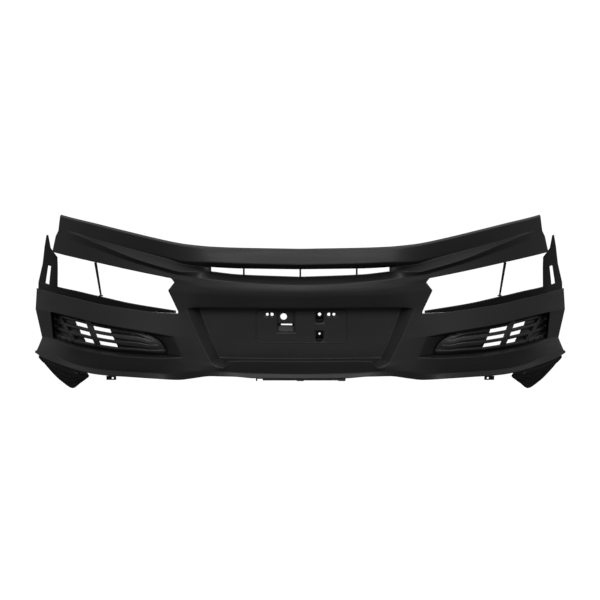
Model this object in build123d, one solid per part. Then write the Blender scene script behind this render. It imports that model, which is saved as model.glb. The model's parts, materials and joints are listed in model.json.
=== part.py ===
from build123d import *
import os
import numpy as np

os.makedirs("parts", exist_ok=True)

# Rear bumper cover. X is to the right, the outer face looks along -Y, Z is up. All sizes are millimetres.
# Depth is measured forward (+Y) from the rearmost point of the middle, height up from the lowest point.

skin_thickness = 3.0
half_width = 950.0  # where the flank turns into the wheel arch
plan_slope = 0.06  # forward sweep of the rear face near the middle
plan_wrap = 390.0  # further forward sweep at the wheel arch
plan_power = 5  # how late the corner turns
depth_centre = 243.0  # depth that is at Y = 0

flange_depth = 22.0  # return flanges of the openings
top_flange_depth = 34.0
arch_flange = 20.0
bottom_flange_depth = 26.0

# Feature lines of the right half from the top down: (distance from the middle, height, depth offset).
# The depth offset is added to the plan curve of the body.
top_edge = [(0, 549, 8), (205, 551, 8), (304, 554, 8), (352, 558, 6), (402, 564, 2), (511, 585, -2),
            (616, 606, -2), (725, 624, 0), (842, 636, 4)]
lip_line = [(0, 502, -6), (205, 505, -6), (304, 508, -4), (352, 508, 2), (402, 510, 8), (442, 520, 10),
            (580, 550, 9), (700, 571, 4), (800, 590, 1.5), (850, 592, 2.7)]
groove_line = [(0, 482, 26), (205, 483, 26), (304, 487, 26), (352, 491, 22), (402, 498, 18), (442, 511, 14),
               (580, 545, 10), (700, 568, 3), (800, 588, 1.2), (851, 588, 2.7)]
ridge_line = [(0, 455, 28), (205, 461, 28), (304, 471, 27), (330, 474, 10), (352, 475, -4), (402, 475, -14),
              (442, 484, -16), (557, 514, -15), (615, 533, -13), (700, 561, -9), (800, 585, -2), (815, 586, 2),
              (851, 584, 2.6)]
valley_line = [(0, 433, -6), (114, 435, -6), (205, 441, -5), (304, 450, -5), (352, 456, -3), (415, 463, 1),
               (502, 484, 4), (582, 504, 4), (700, 538, 2), (800, 558, 1), (862, 562, 2)]
lamp_top = [(0, 418, -10), (205, 422, -9), (312, 432, -7), (368, 440, -4), (440, 450, 0), (500, 460, 1),
            (610, 478, 1), (702, 491, 1), (803, 500, 1), (878, 503, 2)]
lamp_notch_top = [(0, 408, -11), (205, 410, -10), (318, 420, -8), (374, 428, -4), (429, 436, 1)]
lamp_notch_tip = [(0, 392, -8), (205, 394, -8), (330, 400, -6), (384, 404, -3), (451, 408, 2)]
overhang_line = [(0, 351, 8), (205, 351, 8), (349, 350, 8), (390, 346, 2), (417, 336, 3)]
flank_top = [(0, 346, 48), (205, 346, 48), (347, 344, 46), (386, 338, 2), (417, 329, 3), (480, 330, 4),
             (584, 338, 5), (696, 347, 6), (787, 355, 6), (870, 357, 6), (955, 351, 4)]
vent_top = [(0, 250, 46), (205, 250, 46), (311, 250, 42), (348, 249, 1), (433, 250, -6), (500, 260, -8),
            (612, 273, -9), (705, 281, -9), (803, 290, -8), (888, 287, -6), (928, 281, -6), (961, 275, -8)]
vent_bottom = [(0, 169, 42), (205, 169, 42), (241, 169, 42), (278, 171, 40), (305, 163, 0), (405, 179, -4),
               (455, 175, -8), (515, 174, -9), (593, 174, -10), (707, 178, -9), (800, 181, -4), (885, 184, 26), (915, 179, 34),
               (940, 169, 42)]
sill_top = [(0, 171, -8), (205, 170, -8), (241, 168, -7), (265, 143, -5), (289, 147, -1),
            (400, 154, -4), (500, 146, -1),
            (593, 145, 0), (707, 146, 2), (800, 153, 6), (882, 162, 12), (922, 155, 16), (950, 145, 20)]
lip_crease = [(0, 124, 6), (205, 126, 6), (272, 131, 4), (300, 132, 1), (373, 130, -4), (443, 118, 2),
              (500, 117, 10), (593, 116, 12), (707, 114, 13), (800, 118, 12), (880, 132, 0), (925, 130, -2),
              (958, 127, -1)]
bottom_edge = [(0, 109, 0), (155, 108, 0), (230, 113, 0), (306, 113, 2), (373, 103, 5), (421, 97, 4),
               (500, 100, -3), (593, 102, -5), (707, 99, -6), (787, 102, -8), (852, 107, -10), (925, 108, -12),
               (967, 113, -13)]

# Where the columns of the skin cross each feature line, from the middle to the wheel arch.
straight = [0, 100, 205, 304, 352, 402, 500, 590, 700, 800, 850]
columns = {
    "top": [0, 100, 205, 304, 352, 402, 500, 590, 700, 800, 842],
    "lip": [0, 100, 205, 304, 352, 402, 500, 590, 700, 800, 849],
    "groove": straight,
    "ridge": straight,
    "valley": [0, 100, 205, 304, 358, 415, 500, 590, 700, 800, 862],
    "lamp_top": [0, 100, 205, 312, 368, 440, 500, 590, 700, 800, 878],
    "notch_top": [0, 100, 205, 318, 374, 429],
    "notch_tip": [0, 100, 205, 330, 384, 451],
    "overhang": [0, 100, 205, 349, 390, 417],
    "flank_top": [0, 100, 205, 347, 386, 417, 500, 590, 700, 800, 875, 917, 955],
    "vent_top": [0, 100, 205, 311, 348, 433, 500, 590, 700, 800, 888, 928, 961],
    "vent_bottom": [0, 100, 236, 278, 305, 405, 500, 590, 700, 800, 885, 915, 940],
    "sill_top": [0, 100, 238, 265, 289, 400, 500, 590, 700, 800, 882, 922, 950],
    "lip_crease": [0, 100, 225, 268, 300, 400, 500, 590, 700, 800, 880, 925, 958],
    "bottom": [0, 100, 195, 280, 306, 400, 500, 590, 700, 800, 880, 925, 967],
}
lines = {
    "top": top_edge,
    "lip": lip_line,
    "groove": groove_line,
    "ridge": ridge_line,
    "valley": valley_line,
    "lamp_top": lamp_top,
    "notch_top": lamp_notch_top,
    "notch_tip": lamp_notch_tip,
    "overhang": overhang_line,
    "flank_top": flank_top,
    "vent_top": vent_top,
    "vent_bottom": vent_bottom,
    "sill_top": sill_top,
    "lip_crease": lip_crease,
    "bottom": bottom_edge,
}
kinked = ("flank_top", "vent_top", "vent_bottom", "sill_top", "overhang")  # offsets run straight between points


def plan_depth(x):
    """Depth of the body's plan curve: a gentle slope plus a corner that turns late."""
    return plan_slope * np.abs(x) + plan_wrap * (np.abs(x) / half_width) ** plan_power


def smooth(knots_x, knots_y, x):
    """Piecewise cubic through the knots whose slopes never overshoot (harmonic mean of the neighbours)."""
    kx = np.asarray(knots_x, float)
    ky = np.asarray(knots_y, float)
    secant = np.diff(ky) / np.diff(kx)
    slope = np.zeros(len(kx))
    slope[0], slope[-1] = secant[0], secant[-1]
    same = secant[:-1] * secant[1:] > 0
    total = np.where(same, secant[:-1] + secant[1:], 1.0)
    slope[1:-1] = np.where(same, 2 * secant[:-1] * secant[1:] / total, 0.0)
    x = np.clip(x, kx[0], kx[-1])
    i = np.clip(np.searchsorted(kx, x, side="right") - 1, 0, len(kx) - 2)
    h = kx[i + 1] - kx[i]
    t = (x - kx[i]) / h
    return (ky[i] * (1 + 2 * t) * (1 - t) ** 2 + slope[i] * h * t * (1 - t) ** 2
            + ky[i + 1] * t * t * (3 - 2 * t) - slope[i + 1] * h * t * t * (1 - t))


def line_point(name, x):
    """Point of a feature line of the right half at the distance x from the middle."""
    knots = np.array(lines[name], float)
    height = smooth(knots[:, 0], knots[:, 1], x)
    if name in kinked:
        offset = np.interp(x, knots[:, 0], knots[:, 2])
    else:
        offset = smooth(knots[:, 0], knots[:, 2], x)
    return np.array([x, plan_depth(x) + offset - depth_centre, height])


def crossing(name, u):
    """Point of a feature line at the column number u, which may lie between two columns."""
    row = columns[name]
    return line_point(name, float(np.interp(u, range(len(row)), row)))


def cell(upper, lower, column):
    """Samples of one skin patch: straight between two feature lines, curved from column to column."""
    return np.array([line_edge(upper, column), line_edge(lower, column)])


def strip(edge, shift):
    """Samples of a flange patch: the edge's points carried along a straight shift."""
    return np.array([edge, edge + np.asarray(shift, float)])


def key(point):
    return tuple(np.round(point, 3) + 0.0)


def poles(samples):
    """Control points of the patch through its samples: cubic for 4 samples, straight for 2."""
    cubic = np.array([[6, 0, 0, 0], [-5, 18, -9, 2], [2, -9, 18, -5], [0, 0, 0, 6]]) / 6.0
    to_poles = {4: cubic, 2: np.eye(2)}
    down, along = samples.shape[:2]
    return np.einsum("ai,bj,ijk->abk", to_poles[down], to_poles[along], samples)


def patch_face(samples):
    return Face.make_bezier_surface([[tuple(p) for p in row] for row in poles(samples)])


def patch_normals(samples):
    along = np.gradient(samples, axis=1)
    down = np.gradient(samples, axis=0)
    normal = np.cross(along, down)
    return normal / np.linalg.norm(normal, axis=2, keepdims=True)


def facing(samples, direction):
    """The same samples, turned so that the patch looks along the given direction."""
    if np.sum(patch_normals(samples).mean(axis=(0, 1)) * np.asarray(direction)) < 0:
        return samples[:, ::-1]
    return samples


def thick_quilt(patches, thickness):
    """Closed solid from outward patches: copies set back by the thickness, walls at free edges."""
    sums = {}
    for samples in patches:
        for point, normal in zip(samples.reshape(-1, 3), patch_normals(samples).reshape(-1, 3)):
            sums.setdefault(key(point), []).append(normal)
    set_back = {}
    for where, normals in sums.items():
        total = np.sum(normals, axis=0)
        length = np.linalg.norm(total)
        reach = min(thickness * len(normals) / length, 1.6 * thickness)
        set_back[where] = -total / length * reach
    faces = []
    edges = {}
    for samples in patches:
        inner = samples + np.array([[set_back[key(p)] for p in row] for row in samples])
        faces.append(patch_face(samples))
        faces.append(patch_face(inner))
        sides = ((samples[0], inner[0]), (samples[-1], inner[-1]),
                 (samples[:, 0], inner[:, 0]), (samples[:, -1], inner[:, -1]))
        for outer_side, inner_side in sides:
            name = tuple(sorted([key(outer_side[0]), key(outer_side[-1])])) + (key(outer_side.sum(axis=0)),)
            edges.setdefault(name, []).append((outer_side, inner_side))
    for found in edges.values():
        if len(found) == 1:
            outer_side, inner_side = found[0]
            faces.append(patch_face(strip(outer_side, inner_side - outer_side)))
    return Solid(Shell(faces))


def both_sides(patches):
    """The right half's patches and their mirror images in the middle plane."""
    flip = np.array([-1.0, 1.0, 1.0])
    return patches + [samples[:, ::-1] * flip for samples in patches]


def skin_half():
    """Patches of the right half of the skin."""
    names = list(lines)
    patches = []
    for upper, lower in zip(names[:-1], names[1:]):
        count = min(len(columns[upper]), len(columns[lower])) - 1
        for column in range(count):
            slot = upper == "groove" and column < 3
            lamp = upper in ("lamp_top", "notch_top", "notch_tip", "overhang") and column >= 5
            vent = upper == "vent_top" and 5 <= column < 10
            if not (slot or lamp or vent):
                patches.append(facing(cell(upper, lower, column), (0, -1, 0)))
    return patches


def line_edge(name, column):
    return np.array([crossing(name, column + s) for s in np.linspace(0, 1, 4)])


def side_edge(upper, lower, column):
    return np.array([crossing(upper, column), crossing(lower, column)])


def flange_patches():
    """Return flanges of the right half."""
    made = []
    for column in range(10):
        made.append(facing(strip(line_edge("top", column), (0, top_flange_depth, 2)), (0, 0, 1)))
    wing = ["top", "lip", "groove", "ridge", "valley", "lamp_top"]
    for upper, lower in zip(wing[:-1], wing[1:]):
        made.append(facing(strip(side_edge(upper, lower, 10), (-2, flange_depth, 0)), (1, 0, 0)))
    for column in range(5, 10):
        made.append(facing(strip(line_edge("lamp_top", column), (0, flange_depth, 2)), (0, 0, -1)))
    notch = ["lamp_top", "notch_top", "notch_tip", "overhang", "flank_top"]
    for upper, lower in zip(notch[:-1], notch[1:]):
        made.append(facing(strip(side_edge(upper, lower, 5), (-1, flange_depth, 0)), (1, 0, 0)))
    for column in range(5, 12):
        made.append(facing(strip(line_edge("flank_top", column), (0, flange_depth, -3)), (0, 0, 1)))
    for column in range(3):
        made.append(facing(strip(line_edge("groove", column), (0, flange_depth, 1)), (0, 0, -1)))
        made.append(facing(strip(line_edge("ridge", column), (0, flange_depth, -1)), (0, 0, 1)))
    made.append(facing(strip(side_edge("groove", "ridge", 3), (0, flange_depth, 0)), (-1, 0, 0)))
    arch = ["flank_top", "vent_top", "vent_bottom", "sill_top", "lip_crease", "bottom"]
    for upper, lower in zip(arch[:-1], arch[1:]):
        made.append(facing(strip(side_edge(upper, lower, 12), (-arch_flange, 0, 0)), (0, 1, 0)))
    for column in range(12):
        made.append(facing(strip(line_edge("bottom", column), (0, bottom_flange_depth, 1)), (0, 0, -1)))
    return made


def pocket_offset(x):
    """Depth offset of the vent pocket's floor, deeper where the outer corner is tucked in."""
    return 28.0 + 16.0 * min(max((x - 800.0) / 85.0, 0.0), 1.0)


def pocket_floor(point, inner_x, run_out, inward):
    """Where a point of the vent opening's edge lands on the pocket's floor. The rounded inner end slopes
    towards the middle of the opening, and that shift runs out along the edge."""
    x, _, height = point
    share = min(max((run_out - x) / (run_out - inner_x), 0.0), 1.0)
    new_x = x + inward * share - (6.0 if x > 870 else 0.0)
    new_height = height + (0.12 * (225.0 - height))
    return np.array([new_x, plan_depth(new_x) + pocket_offset(new_x) - depth_centre, new_height])


def pocket_edges():
    """The vent opening's upper and lower edge points, each with its landing point, column by column."""
    upper = [(p, pocket_floor(p, 433.0, 560.0, 86.0)) for p in vent_edge("vent_top")]
    lower = [(p, pocket_floor(p, 405.0, 520.0, 46.0)) for p in vent_edge("vent_bottom")]
    return upper, lower


def vent_edge(name):
    return [crossing(name, u) for u in np.linspace(5, 10, 16)]


def pocket_patches():
    """Walls of the vent pocket, from the opening's edge to the floor."""
    made = []
    upper, lower = pocket_edges()
    for pairs, look in ((upper, -1), (lower, 1)):
        for first in range(0, 15, 3):
            samples = np.array(pairs[first:first + 4]).swapaxes(0, 1)
            made.append(facing(samples, (0, 0, look)))
    for end, look in ((0, 1), (-1, -1)):
        samples = np.array([upper[end], lower[end]]).swapaxes(0, 1)
        made.append(facing(samples, (look, 0, 0)))
    return made


def bumper_skin():
    half = skin_half() + flange_patches() + pocket_patches()
    return thick_quilt(both_sides(half), skin_thickness)


def surface_patches(point_at, rows, cols, skip=(), down=2):
    """Patches of the surface point_at(row, column) between the listed rows and columns, with 2 samples down
    where it is straight and 4 where it is curved."""
    steps = np.linspace(0, 1, 4)
    made = []
    for i in range(len(rows) - 1):
        for j in range(len(cols) - 1):
            if (i, j) not in skip:
                made.append(np.array([[point_at(rows[i] + (rows[i + 1] - rows[i]) * t,
                                                cols[j] + (cols[j + 1] - cols[j]) * s)
                                       for s in steps] for t in np.linspace(0, 1, down)]))
    return made


def mirrored(patches):
    return [samples[:, ::-1] * np.array([-1.0, 1.0, 1.0]) for samples in patches]


def on_plan(x, offset, height):
    return np.array([x, plan_depth(x) + offset - depth_centre, height])


def hole(centre, direction, radius, length=30.0):
    """Cylinder centred on a point and lying along a direction."""
    plane = Plane(origin=tuple(centre), z_dir=tuple(direction))
    return plane * Cylinder(radius, length)


def box_between(low, high):
    size = [b - a for a, b in zip(low, high)]
    middle = [(a + b) / 2 for a, b in zip(low, high)]
    return Pos(*middle) * Box(*size)


# ---- openings and holes of the skin

panel_depth = 44.0  # plate recess behind the outer face
top_bolt_x = (140.0, 290.0)
top_bolt_back = 27.0  # from the rear edge of the top flange
bolt_radius = 3.5
arch_bolt_x = 947.0
arch_bolt_depth = 460.8
arch_bolt_z = (290.0, 335.0)
bottom_bolt_x = 340.0
bottom_bolt_back = 14.0
plate_hole = 11.0
plate_hole_x = (-113.0, -96.0, 97.0, 115.0)
plate_hole_z = 323.0
round_hole = (-57.0, 315.0, 12.5)  # x, height, radius
pocket_box = (-78.0, -22.0, 258.0, 334.0)  # x from, x to, height from, height to
pocket_wall = 2.5
pocket_reach = 20.0
pocket_slot = (-66.0, -28.0, 283.0, 288.0)
latch_x = (53.0, 79.0)
latch_z = ((295.0, 330.0), (228.0, 264.0))
latch_depth = 9.0
latch_holes = ((66.0, 323.0, 5.5), (66.0, 256.0, 3.5))  # x, height, radius


def panel_y(x):
    return float(plan_depth(x)) + panel_depth - depth_centre


def skin_holes():
    """Bolt holes of the flanges and the see-through holes of the plate recess."""
    cuts = []
    for x in top_bolt_x:
        for side in (-1, 1):
            y = line_point("top", x)[1] + top_bolt_back
            cuts.append(hole((side * x, y, line_point("top", x)[2]), (0, 0, 1), bolt_radius))
    for side in (-1, 1):
        for height in arch_bolt_z:
            place = (side * arch_bolt_x, arch_bolt_depth - depth_centre, height)
            cuts.append(hole(place, (0, 1, 0), bolt_radius))
        y = line_point("bottom", bottom_bolt_x)[1] + bottom_bolt_back
        height = line_point("bottom", bottom_bolt_x)[2]
        cuts.append(hole((side * bottom_bolt_x, y, height), (0, 0, 1), bolt_radius, 16.0))
    for x in plate_hole_x:
        cuts.append(Pos(x, panel_y(x), plate_hole_z) * Box(plate_hole, 30, plate_hole))
    return cuts


def tray(x0, x1, z0, z1, reach):
    """Open-backed box let into the recess panel: outer block and the hollow that is cut from it."""
    front = panel_y(min(abs(x0), abs(x1)))
    back = front + reach
    block = box_between((x0 - pocket_wall, front + 1.0, z0 - pocket_wall),
                        (x1 + pocket_wall, back + pocket_wall, z1 + pocket_wall))
    hollow = box_between((x0, front - 30, z0), (x1, back, z1))
    return block, hollow


def finished_skin():
    result = bumper_skin()
    for cut in skin_holes():
        result -= cut
    trays = [tray(*pocket_box, pocket_reach)]
    trays += [tray(*latch_x, *span, latch_depth) for span in latch_z]
    for block, hollow in trays:
        result += block
        result -= hollow
    for x, height, radius in latch_holes:
        result -= hole((x, panel_y(x) + latch_depth, height), (0, 1, 0), radius, 12.0)
    x, height, radius = round_hole
    result -= hole((x, panel_y(x) + 22, height), (0, 1, 0), radius, 24.0)
    x0, x1, z0, z1 = pocket_slot
    result -= box_between((x0, panel_y(x0), z0), (x1, panel_y(x0) + 40, z1))
    return result


# ---- lamp seats

seat_thickness = 2.5
rail_low_gap = -0.65  # the rail stands on the sloping return flange
rail_offset = 13.0
rail_lip = 14.0
lamp_bottom = [(417, 334), (480, 342), (585, 355), (700, 371), (807, 379), (862, 379), (955, 372)]
# rows of the side panel: (height, offset, inner x, outer x)
panel_rows = [(374, 20, 862, 948), (380, 21, 862, 946), (446, 29, 861, 927), (484, 32, 862, 921),
              (497, 33, 877, 919), (510, 33, 891, 917), (554, 34, 901, 907)]
panel_shares = [0, 0.42, 0.64, 1]  # across the side panel; its slot is between the second and the third


def rail_point(row, x):
    low = line_point("flank_top", x)[2] + rail_low_gap
    knots = np.array(lamp_bottom, float)
    high = smooth(knots[:, 0], knots[:, 1], x)
    return on_plan(x, rail_offset + (7.0 * max(0.0, (x - 862) / 90.0)) * row, low + (high - low) * row)


def side_panel_point(row, share):
    table = np.array(panel_rows, float)
    height, offset, inner, outer = (np.interp(row, range(len(table)), table[:, k]) for k in range(4))
    x = inner + (outer - inner) * share
    if row < 1:
        low = rail_point(1.0, 862 + 86 * share)
        high = side_panel_point(1.0, share)
        return low * (1 - row) + high * row
    return on_plan(x, offset, height)


def lamp_frame():
    patches = [facing(p, (0, -1, 0)) for p in
               surface_patches(rail_point, [0, 1], [425, 500, 590, 700, 800, 862])]
    patches += [facing(p, (0, -1, 0)) for p in
                surface_patches(lambda r, s: rail_point(r, 862 + 86 * s), [0, 1], panel_shares)]
    patches += [facing(p, (0, -1, 0)) for p in
                surface_patches(side_panel_point, list(range(len(panel_rows))), panel_shares, {(1, 1)})]
    edge_x = [425, 500, 590, 700, 800, 862]
    for a, b in zip(edge_x[:-1], edge_x[1:]):
        edge = np.array([rail_point(1.0, x) for x in np.linspace(a, b, 4)])
        patches.append(facing(strip(edge, (0, rail_lip, 0.5)), (0, 0, 1)))
    return patches


# ---- lamp struts

strut_top = (707.0, 489.6)
strut_bottom = (690.0, 372.6)
strut_depth = 14.0


def lamp_strut(side):
    """Thin upright blade from the opening's upper flange to the rail below, with a small foot."""
    y = float(plan_depth(700)) + 8.0 + strut_depth / 2 - depth_centre
    top = Plane(origin=(side * strut_top[0], y, strut_top[1]), z_dir=(0, 0, 1)) * Rectangle(8, strut_depth)
    foot_top = (side * strut_bottom[0], y, strut_bottom[1] + 2)
    low = Plane(origin=foot_top, z_dir=(0, 0, 1)) * Rectangle(5, strut_depth)
    blade = loft([top.face(), low.face()])
    foot = Pos(side * strut_bottom[0], y, strut_bottom[1] + 1.25) * Box(14, strut_depth, 2.5)
    return blade + foot


# ---- side vent grilles

grille_thickness = 3.0
grille_rows = [0, 0.14, 0.30, 0.40, 0.56, 0.66, 0.84, 1]
grille_top_x = [881, 826, 806, 753, 731, 666, 600, 540, 512]
grille_low_x = [879, 792, 743, 709, 690, 624, 590, 500, 444]
grille_bulge = 17.0
grille_clearance = 6.0


def grille_point(row, column):
    """Vent insert: runs along the opening just behind the pocket's rim and bulges rearward in between."""
    u = float(column)
    x_top = np.interp(u, range(9), grille_top_x)
    x_low = np.interp(u, range(9), grille_low_x)
    x = x_top * (1 - row) + x_low * row
    upper = line_point("vent_top", max(x, 433.0))[2]
    lower = line_point("vent_bottom", x)[2]
    upper_in = upper + 0.12 * (225.0 - upper) + 5.0
    lower_in = lower + 0.12 * (225.0 - lower) - 5.0
    height = upper_in * (1 - row) + lower_in * row
    ends = np.sin(np.pi * min(max(u / 8.0, 0.0), 1.0))
    offset = pocket_offset(x) + grille_clearance - grille_bulge * np.sin(np.pi * row) * ends
    return on_plan(x, offset, height)


def vent_grille():
    open_cells = {(i, j) for i in (1, 3, 5) for j in (2, 4)}
    patches = surface_patches(grille_point, grille_rows, list(range(9)), open_cells, 4)
    return [facing(p, (0, -1, 0)) for p in patches]


screw_places = [(0.88, 0.30), (0.88, 0.62), (0.88, 0.92)]  # row and column on the insert
screw_head = 4.5
screw_shank = 2.0
screw_clearance = 2.3


def grille_frame_at(row, column, side):
    """Point and outward direction of the insert's face."""
    p = grille_point(row, column)
    along = grille_point(row, column + 0.05) - p
    down = grille_point(row + 0.02, column) - p
    normal = np.cross(along, down)
    normal /= np.linalg.norm(normal)
    if normal[1] > 0:
        normal = -normal
    flip = np.array([side, 1.0, 1.0])
    return p * flip, normal * flip


def grille_screw(row, column, side):
    """Pan-head screw seated on the insert's face, its shank through the web."""
    place, out = grille_frame_at(row, column, side)
    plane = Plane(origin=tuple(place), z_dir=tuple(out))
    head = plane * Pos(0, 0, 0.8 + 1.0) * Cylinder(screw_head, 2.0)
    shank = plane * Pos(0, 0, -5.0) * Cylinder(screw_shank, 12.0)
    recess = plane * Pos(0, 0, 2.4) * (Box(4.0, 0.9, 1.6) + Box(0.9, 4.0, 1.6))
    return head + shank - recess


# ---- slot insert

slot_offset = 53.0
slot_rows = [501, 487, 449, 437]
slot_columns = [-300, -196, -190, -3, 3, 190, 196, 300]


def slot_point(row, x):
    height = np.interp(row, range(4), slot_rows)
    lift = line_point("groove", abs(x))[2] - 482.0
    return on_plan(x, slot_offset, height + lift)


def slot_insert():
    gaps = {(1, j) for j in (0, 2, 4, 6)}
    patches = surface_patches(slot_point, [0, 1, 2, 3], slot_columns, gaps)
    return [facing(p, (0, -1, 0)) for p in patches]


# ---- corner closeouts

closeout_thickness = 2.5
closeout_gap = 4.0  # below the skin's bottom flange
closeout_rim = [(748, 235, 68), (784, 315, 32), (824, 380, 0), (868, 416, 20), (912, 440, 58),
                (950, 455, 102)]  # x, depth, height of the lower edge
closeout_top_x = [745, 792, 838, 876, 914, 950]
closeout_steps = [0, 0.30, 0.34, 0.42, 0.46, 0.56, 0.60, 0.68, 0.72, 0.82, 0.86, 0.95, 1.0]
closeout_raise = [0, 0, 5, 5, 0, 0, 5, 5, 0, 0, 5, 5, 5]
lowest = 3.5


def closeout_point(row, column):
    """Closing panel between the skin's bottom flange and its own lower rim, with three raised arcs."""
    u = float(column)
    top_x = np.interp(u, range(6), closeout_top_x)
    upper = line_point("bottom", top_x)
    upper = np.array([top_x, upper[1] + 10.0, upper[2] - closeout_gap])
    rim = np.array(closeout_rim, float)
    lower = np.array([smooth(range(6), rim[:, 0], u), smooth(range(6), rim[:, 1], u) - depth_centre,
                      smooth(range(6), rim[:, 2], u) + lowest])
    sag = np.array([0.0, 26.0, -8.0]) * 4 * row * (1 - row)
    lift = np.interp(row, closeout_steps, closeout_raise)
    return upper * (1 - row) + lower * row + sag * 0.5 + np.array([0.0, -0.7, -0.7]) * lift


def closeout_normal(row, column):
    p = closeout_point(row, column)
    normal = np.cross(closeout_point(row, column + 0.02) - p, closeout_point(row + 0.01, column) - p)
    normal /= np.linalg.norm(normal)
    return normal if normal[1] < 0 else -normal


def corner_closeout():
    patches = surface_patches(closeout_point, closeout_steps, list(range(6)))
    return [facing(p, (0, -1, -0.5)) for p in patches]


# ---- push-in retainers

retainer_row, retainer_column = 0.16, 0.9
sleeve_radius = 4.0
sleeve_hole = 4.2
sleeve_head = 9.0
sleeve_length = 14.0
pin_radius = 2.2
pin_bore = 2.25
pin_head = 5.5


def retainer_plane(side):
    place = closeout_point(retainer_row, retainer_column)
    out = closeout_normal(retainer_row, retainer_column)
    flip = np.array([side, 1.0, 1.0])
    return Plane(origin=tuple(place * flip), z_dir=tuple(out * flip))


def retainer_sleeve(side):
    """Flanged sleeve with a centre bore and a cross slit that lets its legs spread."""
    head = Pos(0, 0, 1.6) * Cylinder(sleeve_head, 2.0)
    legs = Pos(0, 0, 1.6 - sleeve_length / 2) * Cylinder(sleeve_radius, sleeve_length)
    bore = Pos(0, 0, -4) * Cylinder(pin_bore, 40)
    slit = Pos(0, 0, 1.6 - sleeve_length) * (Box(1.2, 12, 14) + Box(12, 1.2, 14))
    return retainer_plane(side) * (head + legs - bore - slit)


def retainer_pin(side):
    """Centre pin, pushed home: its head lies on the sleeve's head."""
    head = Pos(0, 0, 2.6 + 0.05 + 0.9) * Cylinder(pin_head, 1.8)
    shaft = Pos(0, 0, 2.7 - 7.0) * Cylinder(pin_radius, 14.0)
    return retainer_plane(side) * (head + shaft)


# ---- lower brackets, strip and clips

bracket_x = 655.0
bracket_width = 34.0
bracket_drop = 14.0
bracket_hole = 6.5
bracket_hole_low = 10.5  # lower edge of the window under the tab's top
bracket_hole_in = 5.0  # window's centre, towards the middle of the cover
strip_span = (-129.0, 155.0)
strip_top = 107.0
strip_height = 8.0
strip_thickness = 3.0
clip_places = (0.0, 142.0)
clip_width = 24.0
clip_gap = 0.3


def lower_bracket(side):
    """Small angle under the bottom flange with a square hole in its hanging leg."""
    y = line_point("bottom", bracket_x)[1] + 12.0
    top = line_point("bottom", bracket_x)[2] - 2.5
    half = bracket_width / 2
    leg = box_between((-half, y, top - bracket_drop), (half, y + 2.5, top))
    shelf = box_between((-half, y - 8.0, top - 2.5), (half, y + 2.5, top))
    edge = bracket_hole / 2
    centre = -side * bracket_hole_in
    low = top - bracket_hole_low
    window = box_between((centre - edge, y - 2, low), (centre + edge, y + 6, low + bracket_hole))
    return Pos(side * bracket_x, 0, 0) * (leg + shelf - window)


def lower_strip():
    y = line_point("bottom", 0)[1] + 20.0
    bar = box_between((strip_span[0], y, strip_top - strip_height),
                      (strip_span[1], y + strip_thickness, strip_top))
    leg = box_between((-152, y, strip_top - strip_height - 2), (-147, y + strip_thickness, strip_top))
    tie = box_between((-152, y, strip_top - 2.5), (strip_span[0] + 1, y + strip_thickness, strip_top))
    return bar + leg + tie


def strip_clip(x):
    """Spring clip that straddles the strip from below."""
    y = line_point("bottom", 0)[1] + 20.0
    low = strip_top - strip_height
    outer = box_between((x - clip_width / 2, y - clip_gap - 1.5, low - clip_gap - 1.5),
                        (x + clip_width / 2, y + strip_thickness + clip_gap + 1.5, low + 5.0))
    inner = box_between((x - clip_width, y - clip_gap, low - clip_gap),
                        (x + clip_width, y + strip_thickness + clip_gap, low + 10.0))
    return outer - inner


# ---- write the pieces

export_step(finished_skin(), "parts/bumper_skin.step")
export_step(thick_quilt(slot_insert(), 4.0), "parts/slot_insert.step")
export_step(lower_strip(), "parts/lower_strip.step")
for place, word in zip(clip_places, ("centre", "right")):
    export_step(strip_clip(place), f"parts/strip_clip_{word}.step")

for side, word in ((-1, "left"), (1, "right")):
    frame_patches, grille_patches, closeout_patches = lamp_frame(), vent_grille(), corner_closeout()
    if side < 0:
        frame_patches = mirrored(frame_patches)
        grille_patches = mirrored(grille_patches)
        closeout_patches = mirrored(closeout_patches)
    grille = thick_quilt(grille_patches, grille_thickness)
    for number, place in enumerate(screw_places, 1):
        grille -= hole(*grille_frame_at(*place, side), screw_clearance, 12.0)
        export_step(grille_screw(*place, side), f"parts/grille_screw_{word}_{number}.step")
    closeout = thick_quilt(closeout_patches, closeout_thickness)
    closeout -= retainer_plane(side) * Cylinder(sleeve_hole, 16.0)
    export_step(grille, f"parts/vent_grille_{word}.step")
    export_step(closeout, f"parts/corner_closeout_{word}.step")
    export_step(thick_quilt(frame_patches, seat_thickness), f"parts/lamp_frame_{word}.step")
    export_step(lamp_strut(side), f"parts/lamp_strut_{word}.step")
    export_step(retainer_sleeve(side), f"parts/retainer_sleeve_{word}.step")
    export_step(retainer_pin(side), f"parts/retainer_pin_{word}.step")
    export_step(lower_bracket(side), f"parts/lower_bracket_{word}.step")
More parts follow.
